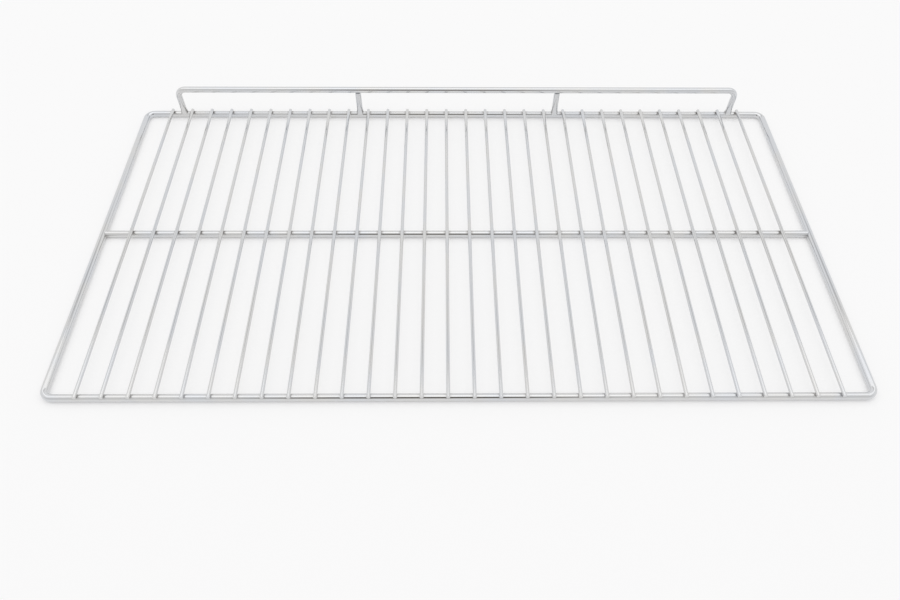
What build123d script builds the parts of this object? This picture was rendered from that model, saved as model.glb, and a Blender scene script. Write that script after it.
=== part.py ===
from build123d import *
import os

# A welded wire shelf for a refrigerator, of plated steel, in millimetres. It lies flat on its frame with +X to the
# right, +Y to the rear and +Z up. The origin is under the middle of the frame, level with the undersides of its rods.

# Steel
rod_diameter = 6.35
wire_diameter = 3.2

# Frame, measured over the outsides of its rods
frame_width = 686.0
frame_depth = 363.5
corner_radius = 8.0  # of the frame's bends, on the rod's centre line

# Deck
wire_count = 30
side_gap = 28.4  # from a side rod's centre line to the outermost wire's
front_reach = 2.9  # of a wire past the front rod's centre line
rear_reach = 1.0  # of a wire past the rear rod's centre line

# Rear rail
rail_height = 38.5  # from the frame's underside to the rail's top
rail_bend_radius = 8.5  # between the rail and its legs, on the rod's centre line
rail_shift = 1.5  # the rail is welded this far to the right of the frame's middle
wires_outside_leg = 1  # wires between a leg and the side of the frame
wires_outside_post = 10

# Welds
weld_sink = 0.4  # how far a rod's square end sinks into the rod that it is welded to
foot_flare = 0.8  # metal squeezed out along the rear rod on each side of a leg or post
foot_height = 4.0  # of that metal above the rear rod
foot_wrap = 1.4  # of that metal down the front and back of the rear rod

# Places worked out from the sizes above
rod_radius = rod_diameter / 2
wire_radius = wire_diameter / 2
side_x = frame_width / 2 - rod_radius
rear_y = frame_depth / 2 - rod_radius
front_y = -rear_y
middle_y = (front_y + rear_y) / 2
wire_spacing = 2 * (side_x - side_gap) / (wire_count - 1)
wire_z = rod_diameter + wire_radius
rail_z = rail_height - rod_radius
foot_top_z = rod_diameter + foot_height
foot_base_z = rod_diameter - foot_wrap
leg_x = wire_spacing * (wire_count / 2 - wires_outside_leg)
post_x = wire_spacing * (wire_count / 2 - wires_outside_post)


def round_bar(path, diameter):
    """A round bar that follows a path of straight runs and tangent bends."""
    return sweep(Plane(path @ 0, z_dir=path % 0) * Circle(diameter / 2), path=path)


def straight_rod(start, end):
    """A straight piece of the rod, cut square at both ends."""
    return round_bar(Line(start, end), rod_diameter)


def make_perimeter_frame():
    """One rod bent to a rectangle with round corners and welded end to end."""
    outline = Pos(0, 0, rod_radius) * RectangleRounded(2 * side_x, 2 * rear_y, corner_radius)
    return round_bar(outline.face().outer_wire(), rod_diameter)


def make_cross_bar(frame):
    """A straight rod at half the frame's depth, welded between the insides of the side rods."""
    end_x = side_x - rod_radius + weld_sink
    return straight_rod((-end_x, middle_y, rod_radius), (end_x, middle_y, rod_radius)) - frame


def make_deck_wire(x):
    """A straight wire from front to back, lying on the front rod, the cross bar and the rear rod."""
    start = (x, front_y - front_reach, wire_z)
    end = (x, rear_y + rear_reach, wire_z)
    return round_bar(Line(start, end), wire_diameter)


def make_foot(x):
    """The weld at the foot of a leg or post, flared along the rear rod and as deep as the rod from front to back."""
    base_radius = rod_radius + foot_flare
    height = foot_top_z - foot_base_z
    on_base = (Align.CENTER, Align.CENTER, Align.MIN)
    flare = Cone(base_radius, rod_radius, height, align=on_base)
    flare &= Box(2 * base_radius, rod_diameter, height, align=on_base)
    return Pos(x, rear_y, foot_base_z) * flare


def make_rear_rail(frame):
    """A rod bent down at both ends into legs, which stand on the rear rod."""
    left = rail_shift - leg_x
    right = rail_shift + leg_x
    path = FilletPolyline(
        (left, rear_y, foot_top_z),
        (left, rear_y, rail_z),
        (right, rear_y, rail_z),
        (right, rear_y, foot_top_z),
        radius=rail_bend_radius,
    )
    return round_bar(path, rod_diameter) + make_foot(left) + make_foot(right) - frame


def make_rail_post(x, frame, rail):
    """A short post that stands on the rear rod and holds up the rail."""
    top_z = rail_z - rod_radius + weld_sink
    return straight_rod((x, rear_y, foot_top_z), (x, rear_y, top_z)) + make_foot(x) - frame - rail


def make_shelf():
    """All pieces of the shelf, by name."""
    frame = make_perimeter_frame()
    rail = make_rear_rail(frame)
    pieces = {
        "perimeter_frame": frame,
        "cross_bar": make_cross_bar(frame),
        "rear_rail": rail,
        "rail_post_left": make_rail_post(rail_shift - post_x, frame, rail),
        "rail_post_right": make_rail_post(rail_shift + post_x, frame, rail),
    }
    for number in range(1, wire_count + 1):
        x = (number - (wire_count + 1) / 2) * wire_spacing
        pieces[f"deck_wire_{number:02d}"] = make_deck_wire(x)
    return pieces


os.makedirs("parts", exist_ok=True)
for name, piece in make_shelf().items():
    export_step(piece, f"parts/{name}.step")
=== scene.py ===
import math

import bmesh
import bpy
from mathutils import Matrix, Vector, noise


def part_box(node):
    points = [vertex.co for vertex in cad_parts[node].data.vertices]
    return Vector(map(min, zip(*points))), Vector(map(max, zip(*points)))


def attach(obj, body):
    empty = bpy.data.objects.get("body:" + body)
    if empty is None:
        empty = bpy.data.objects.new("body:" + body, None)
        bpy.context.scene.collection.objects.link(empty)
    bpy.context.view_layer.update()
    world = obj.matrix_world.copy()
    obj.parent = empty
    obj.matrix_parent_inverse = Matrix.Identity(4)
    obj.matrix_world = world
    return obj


# A welded wire shelf of bright plated steel on a white table, in metres.
# +X is to the right, +Y to the rear and +Z up.

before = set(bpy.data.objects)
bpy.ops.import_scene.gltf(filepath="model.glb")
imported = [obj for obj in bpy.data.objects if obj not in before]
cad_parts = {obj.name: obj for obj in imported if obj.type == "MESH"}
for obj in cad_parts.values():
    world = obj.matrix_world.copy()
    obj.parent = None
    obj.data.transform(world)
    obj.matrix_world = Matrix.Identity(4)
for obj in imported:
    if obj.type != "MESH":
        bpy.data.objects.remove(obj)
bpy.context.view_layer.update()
mm = 0.001

# The photograph's camera
image_width = 900
focal_pixels = 724.9
sensor_width = 36.0  # millimetres
camera_place = Vector((-0.0155, -0.4703, 0.5226))
camera_pitch = math.radians(53.053)  # below level
camera_yaw = math.radians(1.028)  # to the right of straight ahead
camera_roll = math.radians(-0.753)
nearest_seen = 0.01
farthest_seen = 100.0

# Table
floor_size = 30.0
floor_colour = (0.962, 0.956, 0.96)
floor_white = 0.955  # where the camera and the metal see it
floor_own_light = 0.65  # the share of that white that stays in a soft shadow
painted_shade_reach = 7 * mm  # of the painted shade beside a rod, where ambient occlusion cuts the table's glow
painted_shade_lean = math.radians(-30)  # of that painted shade, which is deeper in front of a rod than behind it

# Room: its level by the sine of the elevation, from the horizon to straight above
room_behind = ((0.0, 0.91), (0.3, 0.94), (0.72, 0.96), (0.81, 0.6), (1.0, 0.83))
room_in_front = ((0.0, 0.91), (0.4, 0.74), (0.8, 0.8), (1.0, 0.83))
room_turn = (-0.6, 0.0)  # the Y of a direction where the front's level is whole, and where it has faded out

# Lamp
softbox_size = (5.2, 2.3)
softbox_height = 2.6
softbox_y = 0.3
softbox_radiance = 0.55  # added to the ceiling behind it

# Dark flag
flag_radius = 0.46
flag_core = 0.42  # the share of its radius that is fully dark
flag_centre = Vector((-0.055, -0.76, 0.6))
flag_colour = (0.05, 0.035, 0.02)

# Noise
soft_detail = 2.0
fine_detail = 3.0
noise_roughness = 0.55
patch_ends = (0.35, 0.65)  # the noise between which one kind of patch fades into the other

# Plated steel
plate_cool = (0.675, 0.688, 0.712)
plate_warm = (0.702, 0.698, 0.692)
plate_burnt_and_shaded = (0.43, 0.415, 0.405)  # beside a weld: burnt plating, and painted shade in the crease where a wire meets a rod
tint_size = 40 * mm  # of the patches of cool and warm plating
cloud_size = 1.2 * mm  # of the clouds in the burnt plating and painted shade
cloud_base = 0.3  # the least share of the burn and painted shade that a cloud leaves
plate_roughness = 0.1
line_roughness = 0.12  # between the smoothest and the roughest drawing lines
roughness_burnt_and_shaded = 0.2  # added where the plating is burnt and painted with shade
line_width = 0.7 * mm  # of the drawing lines
line_length = 60 * mm
line_depth = 0.02 * mm
line_strength = 0.15
weld_darkening_reach = 4.5 * mm  # of the burnt plating and painted shade along a wire or rod
foot_front = 0.7  # where the burnt flank of a foot of the rail, darkened with painted shade, ends, as a share of the rod's radius
front_darkening = 0.3  # how much of the burn, painted shade and dark weld-metal patches the front rod's welds keep, as a share of the others
deck_margin = 0.25  # of the burnt rods with painted shade past the outermost wires, as a share of the wires' spacing

# Weld metal between a deck wire and a rod
weld_colour = (0.58, 0.57, 0.56)
weld_dark = (0.4, 0.39, 0.385)
weld_patch = 3 * mm  # of the darker patches
weld_roughness = 0.25
grain_size = 0.5 * mm
grain_roughness = 0.3  # added on the highest grains
grain_depth = 0.05 * mm
grain_strength = 0.4
weld_gap = 0.6 * mm  # the widest gap that it fills
weld_sink = 0.12 * mm  # how far its rims lie inside the wire and the rod
weld_core_sink = 3 * weld_sink  # how far its hidden ends do
weld_core = 0.5  # the width of those ends, as a share of its width at the rims
weld_waist = 0.8  # its width at half height, as a share of its width at the rims
weld_unevenness = 0.16
weld_lumps = 1.7  # how often its rim goes in and out
weld_segments = 24

# Sizes read from the frame
bar_low, bar_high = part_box("cross_bar")
rod_diameter = bar_high.z - bar_low.z
rod_radius = rod_diameter / 2
bar_y = (bar_low.y + bar_high.y) / 2
frame_low, frame_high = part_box("perimeter_frame")
front_y = frame_low.y + rod_radius
rear_y = frame_high.y - rod_radius
side_x = frame_high.x - rod_radius
wire_names = sorted(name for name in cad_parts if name.startswith("deck_wire_"))
wire_boxes = [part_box(name) for name in wire_names]
wire_places = [(low.x + high.x) / 2 for low, high in wire_boxes]
wire_spacing = wire_places[1] - wire_places[0]
wire_phase = 0.5  # of a spacing, from the shelf's middle to the nearest wire
wire_low, wire_high = wire_boxes[0]
wire_radius = (wire_high.x - wire_low.x) / 2
wire_z = (wire_low.z + wire_high.z) / 2
rail_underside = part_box("rear_rail")[1].z - rod_diameter


def add_node(tree, kind, inputs=None, **settings):
    """Adds a shader node, sets its properties and fills its inputs with values or other nodes' outputs."""
    node = tree.nodes.new(kind)
    for name, value in settings.items():
        setattr(node, name, value)
    for name, value in (inputs or {}).items():
        if isinstance(value, bpy.types.NodeSocket):
            tree.links.new(value, node.inputs[name])
        else:
            node.inputs[name].default_value = value
    return node


def calculate(tree, operation, first, second=0.0):
    """One step of arithmetic on numbers."""
    return add_node(tree, "ShaderNodeMath", {0: first, 1: second}, operation=operation).outputs[0]


def fade(tree, value, start, end):
    """Goes smoothly from 1 where a number is at start to 0 where it is at end."""
    inputs = {"Value": value, "From Min": start, "From Max": end, "To Min": 1.0, "To Max": 0.0}
    return add_node(tree, "ShaderNodeMapRange", inputs, interpolation_type="SMOOTHSTEP").outputs["Result"]


def blend_numbers(tree, share, first, second):
    """Goes from the first number to the second as share goes from 0 to 1."""
    return add_node(tree, "ShaderNodeMix", {0: share, 2: first, 3: second}).outputs[0]


def blend_colours(tree, share, first, second):
    """Goes from the first colour to the second as share goes from 0 to 1."""
    inputs = {0: share}
    for place, value in ((6, first), (7, second)):
        inputs[place] = value if isinstance(value, bpy.types.NodeSocket) else (*value, 1)
    return add_node(tree, "ShaderNodeMix", inputs, data_type="RGBA").outputs[2]


def noise_at(tree, place, sizes, detail=soft_detail):
    """Soft noise whose patches have the given sizes along X, Y and Z."""
    scale = tuple(1 / size for size in sizes)
    stretched = add_node(tree, "ShaderNodeMapping", {"Vector": place, "Scale": scale}).outputs["Vector"]
    inputs = {"Vector": stretched, "Scale": 1.0, "Detail": detail, "Roughness": noise_roughness}
    return add_node(tree, "ShaderNodeTexNoise", inputs).outputs["Fac"]


def new_material(name):
    """An empty node material."""
    material = bpy.data.materials.new(name)
    material.use_nodes = True
    material.node_tree.nodes.clear()
    return material


def metal_surface(tree, colour, roughness, height, strength, depth):
    """Metal with fine relief."""
    inputs = {"Strength": strength, "Distance": depth, "Height": height}
    normal = add_node(tree, "ShaderNodeBump", inputs).outputs["Normal"]
    inputs = {"Base Color": colour, "Metallic": 1.0, "Roughness": roughness, "Normal": normal}
    shader = add_node(tree, "ShaderNodeBsdfPrincipled", inputs)
    add_node(tree, "ShaderNodeOutputMaterial", {"Surface": shader.outputs["BSDF"]})


def drawing_lines(tree, place, axis):
    """The fine lines that drawing leaves along a wire or rod that runs along the axis."""
    sizes = [line_length if name == axis else line_width for name in "XYZ"]
    return noise_at(tree, place, sizes, detail=fine_detail)


def lines_along(axis):
    """Drawing lines for a straight wire or rod."""
    return lambda tree, place, coordinates: drawing_lines(tree, place, axis)


def frame_lines(tree, place, coordinates):
    """Drawing lines for the frame: along Y on its side rods and along X on the others."""
    across = calculate(tree, "ABSOLUTE", coordinates["X"])
    on_sides = calculate(tree, "GREATER_THAN", across, side_x - rod_radius)
    along_x = drawing_lines(tree, place, "X")
    along_y = drawing_lines(tree, place, "Y")
    return blend_numbers(tree, on_sides, along_x, along_y)


def rail_lines(tree, place, coordinates):
    """Drawing lines for the rail: along Z on its legs and along X between them."""
    on_rail = calculate(tree, "GREATER_THAN", coordinates["Z"], rail_underside)
    along_x = drawing_lines(tree, place, "X")
    along_z = drawing_lines(tree, place, "Z")
    return blend_numbers(tree, on_rail, along_z, along_x)


def near_rods(tree, coordinates):
    """1 on the lower half of a deck wire where it crosses a rod, 0 away from there: burnt plating and
    painted shade in the crease at the weld.
    """
    distance = None
    for rod_y in (front_y, bar_y, rear_y):
        offset = calculate(tree, "ABSOLUTE", calculate(tree, "SUBTRACT", coordinates["Y"], rod_y))
        distance = offset if distance is None else calculate(tree, "MINIMUM", distance, offset)
    along = fade(tree, distance, wire_radius, weld_darkening_reach)
    below = fade(tree, coordinates["Z"], wire_z - wire_radius, wire_z + wire_radius)
    return calculate(tree, "MULTIPLY", along, below)


def near_wires(tree, coordinates):
    """1 on the upper half of a rod where a deck wire crosses it, 0 away from there: burnt plating and
    painted shade in the crease at the weld.
    """
    count = calculate(tree, "DIVIDE", coordinates["X"], wire_spacing)
    offset = calculate(tree, "SUBTRACT", calculate(tree, "FRACT", count), wire_phase)
    distance = calculate(tree, "MULTIPLY", calculate(tree, "ABSOLUTE", offset), wire_spacing)
    along = fade(tree, distance, wire_radius, weld_darkening_reach)
    above = fade(tree, coordinates["Z"], rod_diameter, rod_radius)
    deck_edge = wire_places[-1] + deck_margin * wire_spacing
    under_deck = calculate(tree, "LESS_THAN", calculate(tree, "ABSOLUTE", coordinates["X"]), deck_edge)
    return calculate(tree, "MULTIPLY", calculate(tree, "MULTIPLY", along, above), under_deck)


def near_bar_welds(tree, coordinates):
    """1 on the cross bar where a deck wire crosses it, with burnt plating and painted shade, and on the
    lower half of its ends as a painted shadow, 0 away from there.
    """
    # painted shadow on the lower half of the bar's ends, where they meet the side rods
    across = calculate(tree, "ABSOLUTE", coordinates["X"])
    inside = calculate(tree, "SUBTRACT", side_x - rod_radius, across)
    along = fade(tree, inside, 0.0, weld_darkening_reach)
    below = fade(tree, coordinates["Z"], rod_radius, rod_diameter)
    painted_shadow_at_ends = calculate(tree, "MULTIPLY", along, below)
    return calculate(tree, "MAXIMUM", near_wires(tree, coordinates), painted_shadow_at_ends)


def near_feet(tree, coordinates):
    """1 on the flanks of a leg's or post's foot, 0 on its front and back and away from there: burnt
    plating, with painted shade keeping the flanks darker than the front.
    """
    along = fade(tree, coordinates["Z"], rod_diameter, rod_diameter + weld_darkening_reach)
    depth = calculate(tree, "ABSOLUTE", calculate(tree, "SUBTRACT", coordinates["Y"], rear_y))
    flanks = fade(tree, depth, foot_front * rod_radius, rod_radius)
    return calculate(tree, "MULTIPLY", along, flanks)


def burn(tree, coordinates, share):
    """Lessens a share at the front rod: the burn and painted shade beside its welds, and its weld metal's
    dark patches.
    """
    at_front = calculate(tree, "LESS_THAN", coordinates["Y"], (front_y + bar_y) / 2)
    lost = calculate(tree, "MULTIPLY", at_front, 1 - front_darkening)
    return calculate(tree, "MULTIPLY", share, calculate(tree, "SUBTRACT", 1.0, lost))


def plated_steel(name, lines, welds):
    """Bright plated steel with drawing lines, cool and warm patches, and burnt plating with painted shade
    at its welds.
    """
    material = new_material(name)
    tree = material.node_tree
    place = add_node(tree, "ShaderNodeTexCoord").outputs["Object"]
    coordinates = add_node(tree, "ShaderNodeSeparateXYZ", {"Vector": place}).outputs
    tint = fade(tree, noise_at(tree, place, (tint_size, tint_size, tint_size)), *patch_ends)
    drawn = lines(tree, place, coordinates)
    cloud = calculate(tree, "ADD", noise_at(tree, place, (cloud_size, cloud_size, cloud_size)), cloud_base)
    # burnt plating and painted shade beside the welds
    burn_and_shade = burn(tree, coordinates, calculate(tree, "MULTIPLY", welds(tree, coordinates), cloud))
    plating = blend_colours(tree, tint, plate_cool, plate_warm)
    colour = blend_colours(tree, burn_and_shade, plating, plate_burnt_and_shaded)
    line_share = calculate(tree, "MULTIPLY", drawn, line_roughness)
    roughness = calculate(tree, "ADD", plate_roughness - line_roughness / 2, line_share)
    roughness = calculate(tree, "ADD", roughness, calculate(tree, "MULTIPLY", burn_and_shade, roughness_burnt_and_shaded))
    metal_surface(tree, colour, roughness, drawn, line_strength, line_depth)
    return material


def weld_metal():
    """Dull, slightly rough metal of the welds, darker in patches, and less so at the front rod."""
    material = new_material("weld_metal")
    tree = material.node_tree
    place = add_node(tree, "ShaderNodeTexCoord").outputs["Object"]
    coordinates = add_node(tree, "ShaderNodeSeparateXYZ", {"Vector": place}).outputs
    grains = noise_at(tree, place, (grain_size, grain_size, grain_size), detail=fine_detail)
    patches = noise_at(tree, place, (weld_patch, weld_patch, weld_patch))
    dark = burn(tree, coordinates, fade(tree, patches, *patch_ends))
    colour = blend_colours(tree, dark, weld_colour, weld_dark)
    grain_share = calculate(tree, "MULTIPLY", grains, grain_roughness)
    roughness = calculate(tree, "ADD", weld_roughness, grain_share)
    metal_surface(tree, colour, roughness, grains, grain_strength, grain_depth)
    return material


def link(obj):
    """Puts an object into the scene."""
    bpy.context.scene.collection.objects.link(obj)
    return obj


def mesh_object(name, mesh_data, material):
    """An object of a bmesh with one material."""
    mesh = bpy.data.meshes.new(name)
    mesh_data.to_mesh(mesh)
    mesh_data.free()
    mesh.materials.append(material)
    return link(bpy.data.objects.new(name, mesh))


def add_weld(mesh_data, x, y):
    """The weld metal round the point where a deck wire touches a rod, in the narrow gap between the two."""
    rings = [[], [], [], [], []]
    for step in range(weld_segments):
        turn = 2 * math.pi * step / weld_segments
        gap_growth = math.cos(turn) ** 2 / (2 * wire_radius) + math.sin(turn) ** 2 / (2 * rod_radius)
        lump_x = weld_lumps * math.cos(turn) + x / wire_spacing
        lump_y = weld_lumps * math.sin(turn)
        uneven = noise.noise(Vector((lump_x, lump_y, y / rod_diameter)))
        rim = math.sqrt(weld_gap / gap_growth) * (1 + weld_unevenness * uneven)
        out_x = rim * math.cos(turn)
        out_y = rim * math.sin(turn)
        top = wire_z - math.sqrt(max(wire_radius**2 - out_x**2, 0))
        bottom = rod_radius + math.sqrt(max(rod_radius**2 - out_y**2, 0))
        middle = (top + bottom) / 2
        levels = (
            (weld_core, rod_diameter - weld_core_sink),
            (1.0, bottom - weld_sink),
            (weld_waist, middle),
            (1.0, top + weld_sink),
            (weld_core, rod_diameter + weld_core_sink),
        )
        for ring, (share, height) in zip(rings, levels):
            ring.append(mesh_data.verts.new((x + share * out_x, y + share * out_y, height)))
    for lower, upper in zip(rings, rings[1:]):
        for step in range(weld_segments):
            after = (step + 1) % weld_segments
            face = mesh_data.faces.new((lower[step], lower[after], upper[after], upper[step]))
            face.smooth = True
    mesh_data.faces.new(reversed(rings[0]))
    mesh_data.faces.new(rings[-1])


def make_deck_welds(material):
    """The welds between the deck wires and the three rods that they cross."""
    for rod, y in (("front", front_y), ("middle", bar_y), ("rear", rear_y)):
        welds = bmesh.new()
        for x in wire_places:
            add_weld(welds, x, y)
        piece = mesh_object(f"deck_welds_{rod}", welds, material)
        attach(piece, "root")


def dress_nodes():
    """Gives each solid its plated steel."""
    finishes = {
        "perimeter_frame": plated_steel("plated_frame", frame_lines, near_wires),
        "cross_bar": plated_steel("plated_bar", lines_along("X"), near_bar_welds),
        "rear_rail": plated_steel("plated_rail", rail_lines, near_feet),
    }
    post_finish = plated_steel("plated_post", lines_along("Z"), near_feet)
    wire_finish = plated_steel("plated_wire_steel", lines_along("Y"), near_rods)
    for name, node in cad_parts.items():
        finish = finishes.get(name, post_finish if name.startswith("rail_post_") else wire_finish)
        for slot in node.material_slots:
            slot.material = finish


def make_floor():
    """The white table that the shelf lies on, with painted soft shade beside the rods, where ambient
    occlusion cuts its glow for camera rays.
    """
    material = new_material("table_white")
    tree = material.node_tree
    matt = add_node(tree, "ShaderNodeBsdfDiffuse", {"Color": (*floor_colour, 1)})
    white = add_node(tree, "ShaderNodeEmission", {"Color": (floor_white, floor_white, floor_white, 1)})
    # painted shade: ambient occlusion, leant towards the front, cuts the table's glow beside the rods
    upright = add_node(tree, "ShaderNodeNewGeometry").outputs["Normal"]
    inputs = {"Vector": upright, "Angle": painted_shade_lean}
    leaning = add_node(tree, "ShaderNodeVectorRotate", inputs, rotation_type="X_AXIS").outputs["Vector"]
    inputs = {"Distance": painted_shade_reach, "Normal": leaning}
    open_share = add_node(tree, "ShaderNodeAmbientOcclusion", inputs).outputs["AO"]
    rays = add_node(tree, "ShaderNodeLightPath").outputs
    seen = calculate(tree, "MULTIPLY", rays["Is Camera Ray"], open_share)
    seen = calculate(tree, "MAXIMUM", seen, rays["Is Glossy Ray"])
    seen = calculate(tree, "MAXIMUM", seen, rays["Is Transmission Ray"])
    share = calculate(tree, "MULTIPLY", seen, floor_own_light)
    inputs = {0: share, 1: matt.outputs["BSDF"], 2: white.outputs["Emission"]}
    surface = add_node(tree, "ShaderNodeMixShader", inputs)
    add_node(tree, "ShaderNodeOutputMaterial", {"Surface": surface.outputs["Shader"]})
    plane = bmesh.new()
    bmesh.ops.create_grid(plane, x_segments=1, y_segments=1, size=floor_size / 2)
    mesh_object("floor", plane, material)


def make_flag():
    """A dark round flag in front of the table, soft at its edge, for the fine dark line along the rods."""
    material = new_material("flag_dark")
    tree = material.node_tree
    place = add_node(tree, "ShaderNodeTexCoord").outputs["Object"]
    distance = add_node(tree, "ShaderNodeVectorMath", {0: place}, operation="LENGTH").outputs["Value"]
    density = fade(tree, distance, flag_core * flag_radius, flag_radius)
    clear = add_node(tree, "ShaderNodeBsdfTransparent").outputs["BSDF"]
    dark = add_node(tree, "ShaderNodeEmission", {"Color": (*flag_colour, 1)}).outputs["Emission"]
    surface = add_node(tree, "ShaderNodeMixShader", {0: density, 1: clear, 2: dark}).outputs["Shader"]
    add_node(tree, "ShaderNodeOutputMaterial", {"Surface": surface})
    plane = bmesh.new()
    bmesh.ops.create_grid(plane, x_segments=1, y_segments=1, size=flag_radius)
    flag = mesh_object("flag", plane, material)
    flag.matrix_world = Matrix.Translation(flag_centre) @ Matrix.Rotation(math.pi / 2, 4, "X")
    flag.visible_camera = False
    flag.visible_diffuse = False
    flag.visible_shadow = False


def room_ramp(tree, height, levels):
    """The room's level by height."""
    ramp = add_node(tree, "ShaderNodeValToRGB", {"Fac": height})
    stops = ramp.color_ramp.elements
    for position, level in levels:
        stop = stops[0] if position == 0 else stops[-1] if position == 1 else stops.new(position)
        stop.color = (level, level, level, 1)
    return ramp.outputs["Color"]


def make_room():
    """A pale room, dimmer in front of the table than behind it."""
    world = bpy.data.worlds.new("room")
    world.use_nodes = True
    tree = world.node_tree
    tree.nodes.clear()
    direction = add_node(tree, "ShaderNodeTexCoord").outputs["Generated"]
    parts = add_node(tree, "ShaderNodeSeparateXYZ", {"Vector": direction}).outputs
    behind = room_ramp(tree, parts["Z"], room_behind)
    in_front = room_ramp(tree, parts["Z"], room_in_front)
    colour = blend_colours(tree, fade(tree, parts["Y"], *room_turn), behind, in_front)
    background = add_node(tree, "ShaderNodeBackground", {"Color": colour, "Strength": 1.0})
    add_node(tree, "ShaderNodeOutputWorld", {"Surface": background.outputs["Background"]})
    bpy.context.scene.world = world


def make_softbox():
    """One large soft lamp overhead."""
    width, depth = softbox_size
    light = bpy.data.lights.new("softbox", "AREA")
    light.shape = "RECTANGLE"
    light.size = width
    light.size_y = depth
    light.energy = softbox_radiance * math.pi * width * depth
    softbox = link(bpy.data.objects.new("softbox", light))
    softbox.location = (0, softbox_y, softbox_height)


def make_camera():
    """The photograph's view."""
    lens = bpy.data.cameras.new("camera")
    lens.sensor_width = sensor_width
    lens.lens = focal_pixels * sensor_width / image_width
    lens.clip_start = nearest_seen
    lens.clip_end = farthest_seen
    ahead = Vector((
        math.sin(camera_yaw) * math.cos(camera_pitch),
        math.cos(camera_yaw) * math.cos(camera_pitch),
        -math.sin(camera_pitch),
    ))
    level_right = Vector((math.cos(camera_yaw), -math.sin(camera_yaw), 0))
    level_up = level_right.cross(ahead)
    right = math.cos(camera_roll) * level_right - math.sin(camera_roll) * level_up
    up = math.sin(camera_roll) * level_right + math.cos(camera_roll) * level_up
    camera = link(bpy.data.objects.new("camera", lens))
    turn = Matrix((right, up, -ahead)).transposed()
    camera.matrix_world = Matrix.Translation(camera_place) @ turn.to_4x4()
    bpy.context.scene.camera = camera


dress_nodes()
make_deck_welds(weld_metal())
make_floor()
make_flag()
make_room()
make_softbox()
make_camera()
bpy.context.scene.view_settings.view_transform = "Standard"
